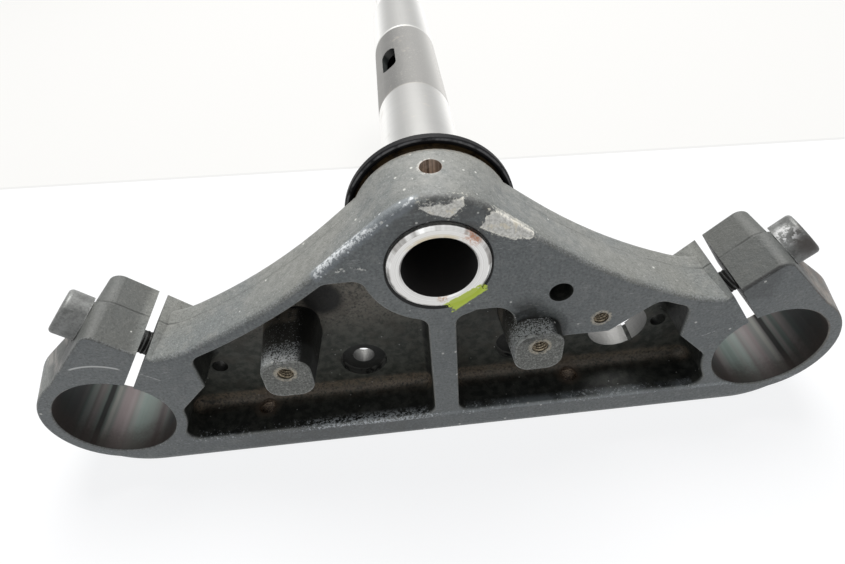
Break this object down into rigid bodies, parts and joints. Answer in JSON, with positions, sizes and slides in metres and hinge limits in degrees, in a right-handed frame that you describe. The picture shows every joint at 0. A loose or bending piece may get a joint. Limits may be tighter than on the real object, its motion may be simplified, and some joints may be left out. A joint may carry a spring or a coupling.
{
  "type": "motorcycle triple clamp",
  "caption": "Lower fork bracket for a motorcycle: a pocketed cast yoke with a split pinch clamp for each fork tube and a hollow steel steering stem pressed in.",
  "frame": {"origin": "on the steering axis, in the plane of the bracket's machined underside", "axes": "+Y up the steering axis from the underside, +X across the bike to the side with the lock bore, +Z to the rear of the bike"},
  "size_m": [0.297, 0.2923, 0.1171],
  "materials": {
    "casting": "satin grey paint on a cast surface, chipped and scuffed",
    "stem": "turned and ground steel",
    "seal": "black rubber",
    "bolt": "dull zinc plate with stains"
  },
  "bodies": {
    "root": {"lower_bracket": "casting", "steering_stem": "stem", "dust_seal": "seal", "pinch_bolt_left": "bolt", "pinch_bolt_right": "bolt"}
  },
  "joints": []
}
